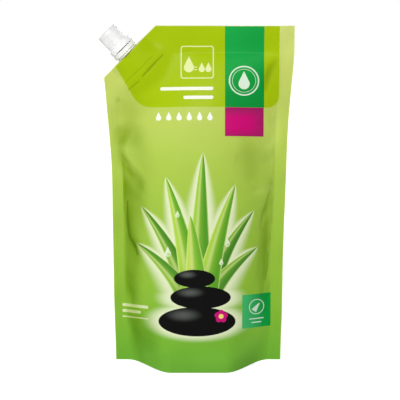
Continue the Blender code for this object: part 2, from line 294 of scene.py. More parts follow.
frontPaintedShading = [
    # left: the shoulder, the fold from the seal, then the flank down to the foot
    (0.30, 12.0, [(-66, 228), (-62, 215), (-58, 204)]),
    (0.40, 2.2, [(-71, 226), (-69, 225), (-67, 224)]),
    (0.62, 8.0, [(-74, 202), (-68, 197), (-62, 192)]),
    (0.20, 14.0, [(-56, 236), (-52, 222), (-50, 208)]),
    (0.30, 9.0, [(-62, 201), (-56, 195), (-50, 187)]),
    (0.48, 5.0, [(-73, 190), (-68, 189), (-64, 188)]),
    (0.65, 5.0, [(-71, 186), (-69, 175), (-65, 168), (-60, 162)]),
    (0.42, 4.5, [(-66, 169), (-60, 163), (-54, 157), (-50, 151)]),
    (0.45, 8.0, [(-67, 162), (-60, 153), (-53, 142)]),
    (0.55, 3.0, [(-70, 176), (-69, 160), (-69, 146), (-69, 130)]),
    (0.60, 7.5, [(-66, 160), (-63, 140), (-61, 118), (-60, 90), (-60, 60), (-57, 28)]),
    (0.32, 9.0, [(-67, 158), (-63, 140), (-61, 122)]),
    (0.30, 5.0, [(-67, 132), (-67, 100), (-67, 68), (-65, 36)]),
    (0.20, 3.0, [(-68, 86), (-67, 70), (-66, 58)]),
    (0.35, 5.0, [(-67, 50), (-64, 40), (-61, 28)]),
    (0.38, 7.5, [(-50, 162), (-51, 140), (-52, 118)]),
    (0.26, 12.0, [(-58, 210), (-53, 192), (-50, 174), (-47, 156)]),
    (0.40, 5.0, [(-67, 136), (-65, 122), (-61, 110), (-54, 98)]),
    (0.30, 6.0, [(-57, 110), (-54, 100), (-54, 88)]),
    (0.20, 5.0, [(-64, 80), (-60, 66), (-60, 54)]),
    (0.42, 8.0, [(-60, 34), (-57, 19), (-53, 3)]),
    (0.48, 12.0, [(-56, 46), (-49, 32), (-40, 14)]),
    # right: the dent beside the stripe, the hollow under the square, the band down the side
    (0.65, 3.8, [(64, 258), (60, 250), (58, 244), (56, 232)]),
    (0.30, 9.0, [(37, 198), (43, 184), (46, 170), (45, 154)]),
    (-0.35, 5.0, [(67, 220), (68, 204), (67, 190), (65, 174)]),
    (-0.20, 6.0, [(58, 210), (60, 196), (60, 184)]),
    (-0.42, 4.5, [(48, 149), (58, 151), (66, 152)]),
    (0.32, 2.8, [(67, 149), (65, 140), (62, 131)]),
    (0.75, 3.6, [(62, 138), (62, 118), (62, 98), (61, 80), (60, 64)]),
    (-0.40, 2.6, [(68, 120), (68, 90), (68, 60), (66, 32)]),
    (-0.50, 3.2, [(68, 60), (67, 46), (64, 34)]),
    (-0.35, 10.0, [(62, 54), (56, 34), (46, 20), (28, 12)]),
    (-0.20, 8.0, [(-8, 13), (8, 12), (24, 12)]),
]

backPaintedShading = [
    (0.45, 8.0, [(66, 214), (58, 204), (46, 196)]),
    (0.55, 5.0, [(68, 178), (63, 164), (58, 150), (57, 134)]),
    (0.45, 7.0, [(64, 120), (62, 96), (62, 70), (58, 40)]),
    (0.40, 8.0, [(-66, 192), (-56, 184), (-42, 180)]),
    (0.45, 4.5, [(-68, 154), (-61, 142), (-52, 134)]),
    (0.50, 6.5, [(-64, 124), (-62, 100), (-61, 78), (-58, 40)]),
]


def creaseDepth(u, v, creases):
    # how far each film point is pressed in, in metres
    total = np.zeros_like(u)
    for kind, depth, width, line in creases:
        points = np.array(line) / 1000
        steps = np.linalg.norm(np.diff(points, axis=0), axis=1)
        ways = np.concatenate([[0], np.cumsum(steps)])
        nearest = np.full_like(u, 1e9)
        way = np.zeros_like(u)
        for start, end, step, before in zip(points, points[1:], steps, ways):
            direction = (end - start) / step
            along = np.clip((u - start[0]) * direction[0] + (v - start[1]) * direction[1], 0, step)
            gap = np.hypot(u - start[0] - along * direction[0], v - start[1] - along * direction[1])
            closer = gap < nearest
            nearest = np.where(closer, gap, nearest)
            way = np.where(closer, (before + along) / ways[-1], way)
        width = width / 1000 * (0.55 + 0.45 * np.sin(math.pi * np.clip(way, 0.05, 0.95)))
        strength = 0.25 + 0.75 * np.sin(math.pi * np.clip(way, 0.0, 1.0)) ** 0.6
        if kind == "sharp":
            profile = np.exp(-nearest / width) * 0.7 + np.exp(-((nearest / (2 * width)) ** 2)) * 0.3
        else:
            profile = np.exp(-((nearest / width) ** 2))
        total += depth / 1000 * strength * profile
    return total


def flankBuckles(u, v, phase):
    # short soft buckles that run inwards from the side seals
    inwards = np.maximum(flatHalf - np.abs(u), 0.0)
    fade = np.exp(-((inwards - 0.004) / 0.009) ** 2) * smoothStep(inwards / 0.003)
    wave = np.sin(v * 260 + phase + 1.3 * np.sin(v * 71 + phase)) + 0.6 * np.sin(v * 433 + 2.1 * phase)
    height = smoothStep((v - 0.030) / 0.03) * smoothStep((pouch["height"] - 0.030 - v) / 0.03)
    return pouch["buckle"] * fade * wave * height


def sealShift(u, v):
    # the seals weave a little out of their plane, front and back together, and the top one bows forwards
    side = smoothStep((np.abs(u) - flatHalf) / pouch["sideSeal"])
    top = smoothStep((v - pouch["height"] + pouch["topSeal"]) / pouch["topSeal"])
    away = 1 - np.exp(-((np.hypot(u - spoutFoot.x, v - spoutFoot.z) / 0.03) ** 4))
    low = smoothStep((v - 0.01) / 0.03)
    sideWave = np.sin(v * 88 + np.sign(u) * 0.9) + 0.5 * np.sin(v * 203 + np.sign(u) * 2.0)
    topWave = np.sin(u * 62 + 0.6) + 0.35 * np.sin(u * 151)
    bow = pouch["topBow"] * top * np.exp(-(((u - 0.038) / 0.034) ** 2))
    return away * (pouch["sealWave"] * (side * low * sideWave + top * topWave) - bow)


def sheetRows(u):
    # film heights from the top edge to the foot, one column for each u
    insets = [pouch["topSeal"] * step / pouch["sealRows"] for step in range(pouch["sealRows"] + 1)]
    rows = [onTopLine(u, inset) for inset in insets]
    share = np.clip(np.abs(u) / flatHalf, 0.0, 1.0)
    share = filmShare(u, np.zeros_like(u)) * (share < 1) + (share >= 1)
    foot = pouch["cornerLift"] * (1 - smoothStep((1 - share) / (1 - pouch["footStraight"])))
    high = rows[-1]
    for step in range(1, pouch["bodyRows"] + 1):
        rows.append(high + (foot - high) * step / pouch["bodyRows"])
    return np.array(rows), share, foot


def halfSheet(side):
    # side -1 is the front, 1 the back: positions and film coordinates of one half, row by row
    across = np.linspace(-flatHalf, flatHalf, pouch["columns"] + 1)
    seal = np.linspace(flatHalf, pouch["filmWidth"] / 2, pouch["sealColumns"] + 1)[1:]
    u = np.concatenate([-seal[::-1], across, seal])
    heights, share, foot = sheetRows(u)
    us = np.broadcast_to(u, heights.shape)
    x = filmX(us, heights)
    depth = bulge(x, heights)
    creases = frontCreases if side < 0 else backCreases
    pressed = creaseDepth(us, heights, creases) + flankBuckles(us, heights, 0.4 if side < 0 else 2.7)
    firm = smoothStep((flatHalf - np.abs(us)) / 0.003)
    along, inwards = fromCut(x, heights)
    firm = firm * smoothStep((inwards - 0.008) / 0.008) * smoothStep((depth - 0.0003) / 0.002)
    sideways = np.gradient(depth, axis=1) / np.gradient(x, axis=1)
    lean = 1 / np.sqrt(1 + sideways**2)
    x = x + pressed * firm * sideways * lean
    y = depth - pressed * firm * lean
    shift = sealShift(us, heights)
    outer = np.stack([x, side * (pouch["film"] + y) + shift, heights], axis=-1)
    edge = outer[:1].copy()
    edge[..., 1] = shift[:1]
    inside = []
    skirt = pouch["skirtSeal"] + (pouch["gussetHeight"] - pouch["skirtSeal"]) * share**3.2
    for step in range(pouch["skirtRows"] + 1):
        z = foot + (skirt - foot) * step / pouch["skirtRows"]
        xs = filmX(u, z)
        gap = bulge(xs, z) - pouch["film"]
        gap = np.where(gap > pouch["film"] / 2, gap, 0.0)
        inside.append(np.stack([xs, side * gap, z], axis=-1))
    seam = inside[-1][:, 1]
    rise = np.maximum(share - pouch["floorShare"], 0.0) / (1 - pouch["floorShare"])
    low = pouch["gussetHeight"] * rise * rise
    for step in range(1, pouch["gussetRows"] + 1):
        way = step / pouch["gussetRows"]
        sag = max(0.0, 1 - way / pouch["floorFrom"]) ** 2
        z = low + (skirt - low) * sag
        inside.append(np.stack([filmX(u, z), seam * (1 - way), z], axis=-1))
    places = np.concatenate([edge, outer, np.array(inside)])
    # a filled pack stands a little fuller low down and leans above its middle
    up = places[..., 2]
    wider = pouch["fullness"] * smoothStep(up / 0.06) * smoothStep((0.20 - up) / 0.07)
    places[..., 0] += wider * np.clip(places[..., 0] / 0.06, -1, 1)
    places[..., 0] += pouch["drift"] * np.exp(-(((up - 0.16) / 0.035) ** 2))
    film = np.concatenate([heights[:1], heights, np.array([row[:, 2] for row in inside])])
    return places, np.broadcast_to(u, film.shape), film


def buildHalf(side):
    places, us, vs = halfSheet(side)
    rows, columns = us.shape
    # a closing column at each side, on the seam between front and back
    closing = places[:, [0, -1]].copy()
    front = pouch["sealRows"] + pouch["bodyRows"] + 2
    closing[:front, :, 1] = places[:1, [0, -1], 1]
    closing[:, :, 1] = sealShift(us[:, [0, -1]], vs[:, [0, -1]])
    closing[front:, :, 1] = 0.0
    places = np.concatenate([closing[:, :1], places, closing[:, 1:]], axis=1)
    us = np.concatenate([us[:, :1], us, us[:, -1:]], axis=1)
    vs = np.concatenate([vs[:, :1], vs, vs[:, -1:]], axis=1)
    columns += 2
    deselectAll()
    bpy.ops.mesh.primitive_grid_add(x_subdivisions=columns - 1, y_subdivisions=rows - 1, size=1.0)
    piece = bpy.context.object
    mesh = piece.data
    flat = np.empty(len(mesh.vertices) * 3)
    mesh.vertices.foreach_get("co", flat)
    flat = flat.reshape(-1, 3)
    column = np.rint((flat[:, 0] + 0.5) * (columns - 1)).astype(int)
    row = np.rint((0.5 - flat[:, 1]) * (rows - 1)).astype(int)
    mesh.vertices.foreach_set("co", places[row, column].ravel())
    film = mesh.uv_layers[0] if mesh.uv_layers else mesh.uv_layers.new()
    film.name = "film"
    corner = np.empty(len(mesh.loops), dtype=int)
    mesh.loops.foreach_get("vertex_index", corner)
    uv = np.stack([us[row, column][corner], vs[row, column][corner]], axis=-1)
    film.data.foreach_set("uv", (uv * 1000).ravel())  # in millimetres
    # the artwork lies square to the eye of someone who looks a little down on the front, or on the back
    artwork = mesh.uv_layers.new(name="print")
    level = math.tan(math.radians(lookDown))
    laid = np.stack([-side * places[..., 0], places[..., 2] - level * np.abs(places[..., 1])], axis=-1)
    artwork.data.foreach_set("uv", (laid[row, column][corner] * 1000).ravel())
    # 0 front print, 1 back print, 2 base film, 3 cut edge of the laminate
    rowOf = np.empty(len(mesh.polygons) * 4, dtype=int)
    mesh.polygons.foreach_get("vertices", rowOf)
    rowOf = row[rowOf].reshape(-1, 4)
    lowest, highest = rowOf.max(axis=1), rowOf.min(axis=1)
    slots = np.where(highest >= front - 1, 2, 0)
    slots = np.where(highest == 0, 3, slots)
    if side > 0:
        slots = np.where(slots == 0, 1, slots)
    # distance from the cut edge in millimetres, for the painted highlight along the rim
    rim = np.minimum((pouch["filmWidth"] / 2 - np.abs(us)) * 1000, 20.0)
    topRows = pouch["sealRows"] + 2
    inset = np.concatenate([[0], np.arange(topRows - 1)]) * pouch["topSeal"] * 1000 / pouch["sealRows"]
    rim[:topRows] = np.minimum(rim[:topRows], inset[:, None])
    setAttribute(mesh, "rim", "FLOAT", "POINT", rim[row, column].astype(np.float32))
    # painted shade and painted light along the strokes, kept on each point
    shadingStrokes = [("soft", *stroke) for stroke in (frontPaintedShading if side < 0 else backPaintedShading)]
    deep = np.clip(1000 * creaseDepth(us, vs, shadingStrokes), -0.6, 1.15)
    setAttribute(mesh, "deep", "FLOAT", "POINT", deep[row, column].astype(np.float32))
    setAttribute(mesh, "part", "INT", "FACE", slots.astype(np.int32))
    mesh.update()
    return piece


def makeFilm():
    front, back = buildHalf(-1), buildHalf(1)
    film = joinPieces(front, [back])
    film.name = "pouch_film"
    openMesh(film, "DESELECT")
    work = bmesh.from_edit_mesh(film.data)
    part = work.faces.layers.int["part"]
    for face in work.faces:
        # the seals' inner sides lie on the middle plane, where front and back are welded
        face.select_set(face[part] == 2 and all(abs(vert.co.y) < 1e-7 for vert in face.verts))
    bmesh.update_edit_mesh(film.data)
    bpy.ops.mesh.delete(type="FACE")
    faceOut(film)
    slots = np.empty(len(film.data.polygons), dtype=np.int32)
    film.data.attributes["part"].data.foreach_get("value", slots)
    film.data.polygons.foreach_set("material_index", slots)
    makeActive(film)
    bpy.ops.object.shade_smooth_by_angle(angle=math.radians(50))
    return film


pouchFilm = makeFilm()
print("film:", len(pouchFilm.data.polygons), "faces")


# Turned and screwed pieces: modelled upright on the spout's own axis, then laid over to its place

def arc(middle, height, radius, start, end, steps):
    # points of a rounding, from one angle to another in degrees
    turns = [math.radians(start + (end - start) * step / steps) for step in range(steps + 1)]
    return [(middle + radius * math.cos(turn), height + radius * math.sin(turn)) for turn in turns]


def turned(name, profile, steps):
    # a chain of vertices (radius, height), spun about the axis
    deselectAll()
    bpy.ops.mesh.primitive_plane_add(size=0.001, location=(0, 0, 0))
    piece = namedPiece(name)
    openMesh(piece)
    bpy.ops.mesh.merge(type="CENTER")
    bpy.ops.transform.translate(value=(profile[0][0], 0, profile[0][1]))
    for here, there in zip(profile, profile[1:]):
        step = (there[0] - here[0], 0, there[1] - here[1])
        bpy.ops.mesh.extrude_vertices_move(TRANSFORM_OT_translate={"value": step})
    bpy.ops.mesh.select_all(action="SELECT")
    bpy.ops.mesh.spin(steps=steps, angle=2 * math.pi, center=(0, 0, 0), axis=(0, 0, 1))
    faceOut(piece)
    return piece


def choose(piece, test):
    # selects the vertices whose place passes the test
    work = bmesh.from_edit_mesh(piece.data)
    for vert in work.verts:
        vert.select_set(bool(test(vert.co)))
    bmesh.update_edit_mesh(piece.data)


def threadBead(name, radius, bead, start, pitch, turns):
    # a round bead that climbs about the axis and runs out at both ends
    deselectAll()
    bpy.ops.mesh.primitive_circle_add(
        vertices=12, radius=bead, location=(radius, 0, start), rotation=(math.pi / 2, 0, 0)
    )
    piece = namedPiece(name)
    bpy.ops.object.transform_apply(location=True, rotation=True, scale=True)
    around, perTurn = 2 * math.pi, 60
    steps = round(perTurn * turns)
    addModifier(
        piece, "SCREW", angle=around * turns, screw_offset=pitch * turns, steps=steps,
        render_steps=steps, use_smooth_shade=True,
    )
    for end in (0, steps):
        # the last rings shrink towards the wall they stand on
        for ring, size in enumerate((0.05, 0.4, 0.62, 0.8, 0.92)):
            turn = around * abs(end - ring) / perTurn
            height = start + pitch * turn / around
            centre = Vector((radius * math.cos(turn), radius * math.sin(turn), height))
            for vert in piece.data.vertices:
                off = math.remainder(math.atan2(vert.co.y, vert.co.x) - turn, around)
                if (vert.co - centre).length < bead * 1.01 and abs(off) < 0.01:
                    vert.co = centre + (vert.co - centre) * size
    openMesh(piece, "DESELECT")
    bpy.ops.mesh.select_non_manifold(
        extend=False, use_boundary=True, use_wire=False, use_multi_face=False,
        use_non_contiguous=False, use_verts=False,
    )
    bpy.ops.mesh.edge_face_add()
    closeMesh()
    return piece


def layOver(piece, angle):
    # smooth, with its place in its mesh
    makeActive(piece)
    piece.matrix_world = spoutPlace
    bpy.ops.object.transform_apply(location=True, rotation=True, scale=True)
    bpy.ops.object.shade_smooth_by_angle(angle=math.radians(angle))
    return piece


# The screw cap: three groups of fine ribs, a smooth collar, a shallow dish on top

cap = {
    "inner": 0.0081,
    "outer": 0.0099,
    "taper": 0.0006,
    "foot": 0.0063,
    "height": 0.0187,
    "ceiling": 0.0235,
    "edge": 0.0011,
    "collar": 0.0113,
    "collarHeight": 0.0040,
    "collarBore": 0.0091,
    "dish": 0.0003,
    "dishRadius": 0.0068,
    "threadRadius": 0.00795,
    "threadStart": 0.0141,
    "ribDepth": 0.00055,
    "ribsFrom": 80,
    "ribGroups": 3,
    "ribs": 5,
    "steps": 480,
    "rows": 15,
}


def capProfile():
    foot, top = cap["foot"], cap["foot"] + cap["height"]
    shoulder = foot + cap["collarHeight"]
    wide, edge = cap["outer"] - cap["taper"], cap["edge"]
    outline = [(0, top - 0.00018), (0.0007, top - 0.0002), (0.0009, top - cap["dish"])]  # gate mark
    outline += [(cap["dishRadius"] * share, top - cap["dish"]) for share in (0.4, 0.7, 1.0)]
    outline += [(cap["dishRadius"] + 0.00035, top - 0.00008), (cap["dishRadius"] + 0.0007, top)]
    outline += arc(wide - edge, top - edge, edge, 88, 0, 7)
    low, high = shoulder + 0.0005, top - edge - 0.0006
    for step in range(cap["rows"] + 1):
        height = high + (low - high) * step / cap["rows"]
        outline.append((cap["outer"] - cap["taper"] * (height - foot) / cap["height"], height))
    outline += [(cap["outer"] - 0.0001, shoulder + 0.0002), (cap["outer"] + 0.0001, shoulder)]
    outline += [(cap["collar"] - 0.0006, shoulder - 0.0001), (cap["collar"] - 0.0003, shoulder - 0.0003)]
    outline += [(cap["collar"] - 0.0001, shoulder - 0.0009), (cap["collar"], foot + 0.0012)]
    outline += arc(cap["collar"] - 0.0002, foot + 0.0002, 0.0002, 0, -90, 3)
    outline += [(cap["collarBore"], foot), (cap["collarBore"], foot + 0.0012), (cap["inner"], foot + 0.0025)]
    outline += [(cap["inner"], cap["ceiling"] - 0.0005), (cap["inner"] - 0.0005, cap["ceiling"])]
    outline += [(0, cap["ceiling"])]
    return outline, low, high


def makeCap():
    outline, low, high = capProfile()
    piece = turned("screw_cap", outline, cap["steps"])
    openMesh(piece)
    group = 180 / cap["ribGroups"]
    pitch = group / cap["ribs"]

    def place(spot):
        # where in a rib's pitch a vertex lies, 0 to 1, or None between the groups
        turn = math.degrees(math.atan2(spot.y, spot.x)) - cap["ribsFrom"]
        within = (turn + 0.01) % (2 * group)
        return (within % pitch) / pitch if within < group + 0.02 else None

    middle = (cap["inner"] + cap["outer"]) / 2
    for step in range(cap["rows"] + 1):
        height = high + (low - high) * step / cap["rows"]
        radius = cap["outer"] - cap["taper"] * (height - cap["foot"]) / cap["height"]
        fade = float(smoothStep((step + 0.6) / 5.0) * smoothStep((cap["rows"] + 1.4 - step) / 1.5))
        for share, near, reach in ((1.0, -1, 0.12), (0.72, 0.12, 0.22), (0.22, 0.22, 0.32)):
            # the valleys between ribs are pressed in, deepest in their middles
            def inValley(spot):
                if abs(spot.z - height) > 0.00002 or math.hypot(spot.x, spot.y) < middle:
                    return False
                part = place(spot)
                if part is None:
                    return False
                away = min(abs(part - 0.05), abs(part - 1.05))
                return near <= away < reach
            choose(piece, inValley)
            press = 1 - share * fade * cap["ribDepth"] / radius
            bpy.ops.transform.resize(value=(press, press, 1))
    closeMesh()
    thread = threadBead(
        "cap_thread", cap["threadRadius"], spout["threadBead"], cap["threadStart"], spout["threadPitch"], 1.0
    )
    return layOver(joinPieces(piece, [thread]), 50)


# The tamper ring, with its six torn bridges

ring = {
    "inner": 0.0087,
    "outer": 0.0115,
    "lip": 0.0077,
    "groove": 0.00012,
    "foot": 0.0019,
    "top": 0.0056,
    "bridges": 6,
    "bridge": (0.00125, 0.0012, 0.0008),
    "tip": 0.0060,
}


def makeRing():
    outer, foot, top = ring["outer"], ring["foot"], ring["top"]
    outline = [(ring["inner"], top), (outer - 0.0009, top)]
    outline += arc(outer - 0.0004, top - 0.0004, 0.0004, 90, 0, 4)
    groove = outer - ring["groove"]
    outline += [(outer, top - 0.0012), (groove, top - 0.0015), (groove, top - 0.0018), (outer, top - 0.0021)]
    outline += arc(outer - 0.0003, foot + 0.0003, 0.0003, 0, -90, 3)
    outline += [(ring["lip"] + 0.0001, foot), (ring["lip"], foot + 0.0002), (ring["lip"], foot + 0.0009)]
    outline += [(ring["inner"], foot + 0.0017), (ring["inner"], top)]
    piece = turned("tamper_band", outline, 160)
    stubs = []
    for number in range(ring["bridges"]):
        deselectAll()
        bpy.ops.mesh.primitive_cube_add(size=1.0, location=((ring["inner"] + outer) / 2, 0, 0))
        stub = bpy.context.object
        stub.scale = ring["bridge"]
        stub.location.z = ring["tip"] - ring["bridge"][2] / 2
        bpy.ops.object.transform_apply(location=True, rotation=True, scale=True)
        openMesh(stub)
        choose(stub, lambda spot: spot.z > ring["tip"] - 0.0001)
        bpy.ops.transform.resize(value=(0.62, 0.5, 1))
        bpy.ops.mesh.select_all(action="SELECT")
        bpy.ops.mesh.bevel(offset=0.0001, segments=2, affect="EDGES")
        turn = math.radians(360 / ring["bridges"] * number)
        bpy.ops.transform.rotate(value=turn, orient_axis="Z", center_override=(0, 0, 0))
        closeMesh()
        stubs.append(stub)
    return layOver(joinPieces(piece, stubs), 45)


# The spout: neck with thread and bead, flange, tube, and the boat that is welded between the films

def boatRing(share, height, inward):
    # one loop of the boat: the lens outline, or the round hole through it
    loop = []
    for number in range(spout["boatSides"]):
        turn = 2 * math.pi * number / spout["boatSides"]
        side = math.sin(turn)
        if inward:
            loop.append((spout["boatBore"] * math.cos(turn), spout["boatBore"] * side, height))
        else:
            reach = spout["boatHalfLength"] * (1 - (1 - share) * 0.3)
            loop.append((reach * math.cos(turn), spout["boatHalfWidth"] * share * side * abs(side), height))
    return loop


def makeBoat():
    loops = [boatRing(1, spout["boatTop"], True)]
    depth, ribs, sides = spout["boatDepth"], spout["boatRibs"], spout["boatSides"]
    for number in range(ribs):
        # weld ribs with grooves between them
        top = spout["boatTop"] - depth * number / ribs
        band = depth / ribs
        loops += [boatRing(0.97, top, False), boatRing(1, top - 0.15 * band, False)]
        loops += [boatRing(1, top - 0.62 * band, False), boatRing(0.94, top - 0.72 * band, False)]
        if number < ribs - 1:
            loops.append(boatRing(0.94, top - 0.92 * band, False))
    loops += [boatRing(1, -depth, True), loops[0]]
    steps = len(loops) - 1
    deselectAll()
    bpy.ops.mesh.primitive_grid_add(x_subdivisions=sides, y_subdivisions=steps, size=1.0)
    piece = namedPiece("boat")
    for vert in piece.data.vertices:
        column = round((vert.co.x + 0.5) * sides) % sides
        row = round((0.5 - vert.co.y) * steps)
        vert.co = loops[row][column]
    faceOut(piece)
    return piece


def makeSpout():
    neck, bore, tube, flange = spout["neck"], spout["bore"], spout["tube"], spout["flange"]
    top, bottom = spout["neckTop"], -spout["tubeDepth"]
    seat, keeper = ring["top"], spout["retainer"]
    high, low, soft = spout["flangeTop"], spout["flangeFoot"], spout["rounding"]
    outline = [(bore, top - soft), (bore + soft, top), (neck - 0.0005, top)]
    outline += arc(neck - 0.0004, top - 0.0004, 0.0004, 80, 0, 4)
    outline += [(neck, spout["waist"]), (neck, seat + 0.0003), (keeper - 0.0001, seat - 0.0003)]
    outline += [(keeper, seat - 0.0005), (keeper, seat - 0.0009), (neck, seat - 0.0011)]
    outline += [(neck, high + soft), (neck + soft, high)]
    outline += arc(flange - soft, high - soft, soft, 90, 0, 4)
    outline += arc(flange - soft, low + soft, soft, 0, -90, 4)
    outline += [(tube, low), (tube, bottom + 0.0002), (tube - 0.0002, bottom), (bore, bottom), outline[0]]
    piece = turned("pour_spout", outline, 128)
    bead = spout["threadBead"]
    middle = spout["threadCrest"] - bead
    thread = threadBead(
        "neck_thread", middle, bead, spout["threadStart"], spout["threadPitch"], spout["threadTurns"]
    )
    return layOver(joinPieces(piece, [thread, makeBoat()]), 40)


screwCap = makeCap()
print("cap:", len(screwCap.data.polygons), "faces")
tamperBand = makeRing()
pourSpout = makeSpout()
print("spout and ring built")


# Shader writing: a wire is a socket, so that masks and colours read as plain sums

def mathNode(operation, flipped=False):
    # a wire's method: one Math node, with the wire as its first value, or as its second
    def method(self, other=0.0):
        first, second = (other, self) if flipped else (self, other)
        return self.node("ShaderNodeMath", {"operation": operation}, {0: first, 1: second})
    return method


class Wire:
    def __init__(self, tree, out=None):
        self.tree = tree
        self.out = out

    def node(self, kind, settings=None, sockets=None, output=0):
        made = self.tree.nodes.new(kind)
        for name, value in (settings or {}).items():
            if name == "stops":
                ramp = made.color_ramp
                while len(ramp.elements) > 1:
                    ramp.elements.remove(ramp.elements[-1])
                ramp.elements[0].position, ramp.elements[0].color = value[0]
                for place, colour in value[1:]:
                    ramp.elements.new(place).color = colour
            else:
                setattr(made, name, value)
        for key, value in (sockets or {}).items():
            if isinstance(value, Wire):
                self.tree.links.new(value.out, made.inputs[key])
            else:
                made.inputs[key].default_value = value
        return Wire(self.tree, made.outputs[output])

    __add__ = mathNode("ADD")
    __radd__ = mathNode("ADD", flipped=True)
    __sub__ = mathNode("SUBTRACT")
    __rsub__ = mathNode("SUBTRACT", flipped=True)
    __mul__ = mathNode("MULTIPLY")
    __rmul__ = mathNode("MULTIPLY", flipped=True)
    __truediv__ = mathNode("DIVIDE")
    __pow__ = mathNode("POWER")
    __abs__ = mathNode("ABSOLUTE")
    most = mathNode("MAXIMUM")
    least = mathNode("MINIMUM")
    root = mathNode("SQRT")
    pingPong = mathNode("PINGPONG")

    def __neg__(self):
        return self * -1.0

    def between(self, low, high):
        # 0 below low, 1 above high, smooth between them
        settings = {"interpolation_type": "SMOOTHSTEP"}
        return self.node("ShaderNodeMapRange", settings, {"Value": self, "From Min": low, "From Max": high})

    def under(self, other, soft=0.3):
        # 1 where this is less than other, with a soft edge
        if isinstance(other, Wire):
            return (other - self).between(-soft / 2, soft / 2)
        return 1 - self.between(other - soft / 2, other + soft / 2)


def mixColours(share, first, second):
    return share.node("ShaderNodeMix", {"data_type": "RGBA"}, {0: share, 6: first, 7: second}, output=2)


def multiplied(start, first, second):
    settings = {"data_type": "RGBA", "blend_type": "MULTIPLY"}
    return start.node("ShaderNodeMix", settings, {0: 1.0, 6: first, 7: second}, output=2)


def colour(red, green, blue):
    # a colour as seen on a screen, 0 to 255, as the shader wants it
    def linear(value):
        value /= 255
        return value / 12.92 if value <= 0.04045 else ((value + 0.055) / 1.055) ** 2.4
    return (linear(red), linear(green), linear(blue), 1.0)


def newMaterial(name, roughness, **constants):
    made = bpy.data.materials.new(name)
    made.use_nodes = True
    shader = made.node_tree.nodes["Principled BSDF"]
    shader.inputs["Roughness"].default_value = roughness
    for key, value in constants.items():
        shader.inputs[key.replace("_", " ")].default_value = value
    return made, Wire(made.node_tree), shader


def plug(shader, **wires):
    for key, wire in wires.items():
        wire.tree.links.new(wire.out, shader.inputs[key.replace("_", " ")])


def lengthOf(across, up):
    # how far a point lies from the origin
    return (across * across + up * up).root()


def rounded(u, v, left, right, low, high, corner=0.0, soft=0.35):
    # a rectangle with round corners
    corner = max(corner, soft)
    across = (abs(u - (left + right) / 2) - ((right - left) / 2 - corner)).most(0.0)
    up = (abs(v - (low + high) / 2) - ((high - low) / 2 - corner)).most(0.0)
    return lengthOf(across, up).under(corner, soft)


def disc(u, v, x, y, radius, soft=0.35):
    # a round spot
    return lengthOf(u - x, v - y).under(radius, soft)


def hoop(u, v, x, y, radius, width):
    return abs(lengthOf(u - x, v - y) - radius).under(width / 2, 0.35)


def drop(u, v, x, y, radius):
    # a water drop: round below, drawn to a point above
    up = v - y
    cone = abs(u - x).under((2.3 * radius - up) * 0.48, 0.35) * up.between(0.40 * radius, 0.46 * radius)
    return disc(u, v, x, y, radius).most(cone)


def leaf(u, v, x, y, length, width, angle, bend):
    # a thick tapering leaf that grows from (x, y); gives its mask, the way across it and the way along it
    turn = math.radians(angle)
    along = ((u - x) * math.sin(turn) + (v - y) * math.cos(turn)) / length
    across = (u - x) * math.cos(turn) - (v - y) * math.sin(turn) - along * along * bend
    half = (1 - along).most(0.0) ** 0.7 * (width / 2) + 0.01
    mask = abs(across).under(half, 0.4) * along.between(0.0, 0.02) * (1 - along.between(0.995, 1.0))
    return mask, across / half, along


def bars(u, v, lines, thick=1.1):
    # plain rules: (left, right, height) each
    total = None
    for left, right, height in lines:
        bar = rounded(u, v, left, right, height - thick / 2, height + thick / 2, thick / 2.2)
        total = bar if total is None else total.most(bar)
    return total


# Printed film

filmPrint = {
    "ramp": [  # height in mm and colour of the printed green, from the foot up
        (0, (112, 178, 56)), (14, (118, 182, 55)), (40, (134, 188, 56)), (70, (147, 193, 59)),
        (108, (156, 195, 65)), (136, (164, 199, 72)), (165, (174, 203, 79)), (190, (184, 208, 89)),
        (220, (190, 208, 98)), (245, (195, 209, 102)), (286, (210, 220, 122)),
    ],
    "panel": (167, 195, 8),
    "stripe": (26, 168, 72),
    "stripeShaded": (12, 146, 58),
    "magenta": (206, 12, 116),
    "magentaShaded": (166, 30, 98),
    "badge": (4, 152, 56),
    "badgeLit": (66, 186, 108),
    "pale": (238, 243, 178),
    "white": (248, 250, 240),
    "sign": (226, 243, 222),
    "leftRules": (232, 240, 190),
    "backRules": (74, 120, 46),
    "cutEdge": (215, 224, 150),
    "glow": (236, 243, 205),
    "roughness": 0.42,
    "gloss": 0.07,
    "paintedShadeTint": (184, 198, 85),
    "paintedFoldShade": (186, 190, 120),
    "rim": (232, 240, 170),
}


def ink(name):
    return colour(*filmPrint[name])


def filmGreen(start, v):
    # the printed green, paler towards the top
    stops = [(height / 286, colour(*shade)) for height, shade in filmPrint["ramp"]]
    return start.node("ShaderNodeValToRGB", {"stops": stops}, {"Fac": v / 286})


def withPaintedShading(start, shade):
    # painted shade along the shading strokes, and painted light where a stroke's share is below 0, but not on
    # the side seals below the shoulder
    across, up = filmCoordinates(start, "film")
    seal = 1000 * flatHalf
    welded = abs(across + 0.4).between(seal + 0.2, seal + 1.0) * (1 - up.between(160, 182))
    shadingShare = start.node("ShaderNodeAttribute", {"attribute_name": "deep"}, output=2) * (1 - welded)
    tint = [share - 1 for share in ink("paintedShadeTint")[:3]]
    gain = start.node("ShaderNodeVectorMath", {"operation": "MULTIPLY_ADD"}, {0: shadingShare, 1: tint, 2: (1, 1, 1)})
    return multiplied(start, shade, gain)


def paintedRimHighlight(start, shade):
    # painted highlight: the film paled within a millimetre of its cut edge
    rim = start.node("ShaderNodeAttribute", {"attribute_name": "rim"}, output=2)
    return mixColours((1 - rim.between(0.25, 0.75)) * 0.6, shade, ink("rim"))


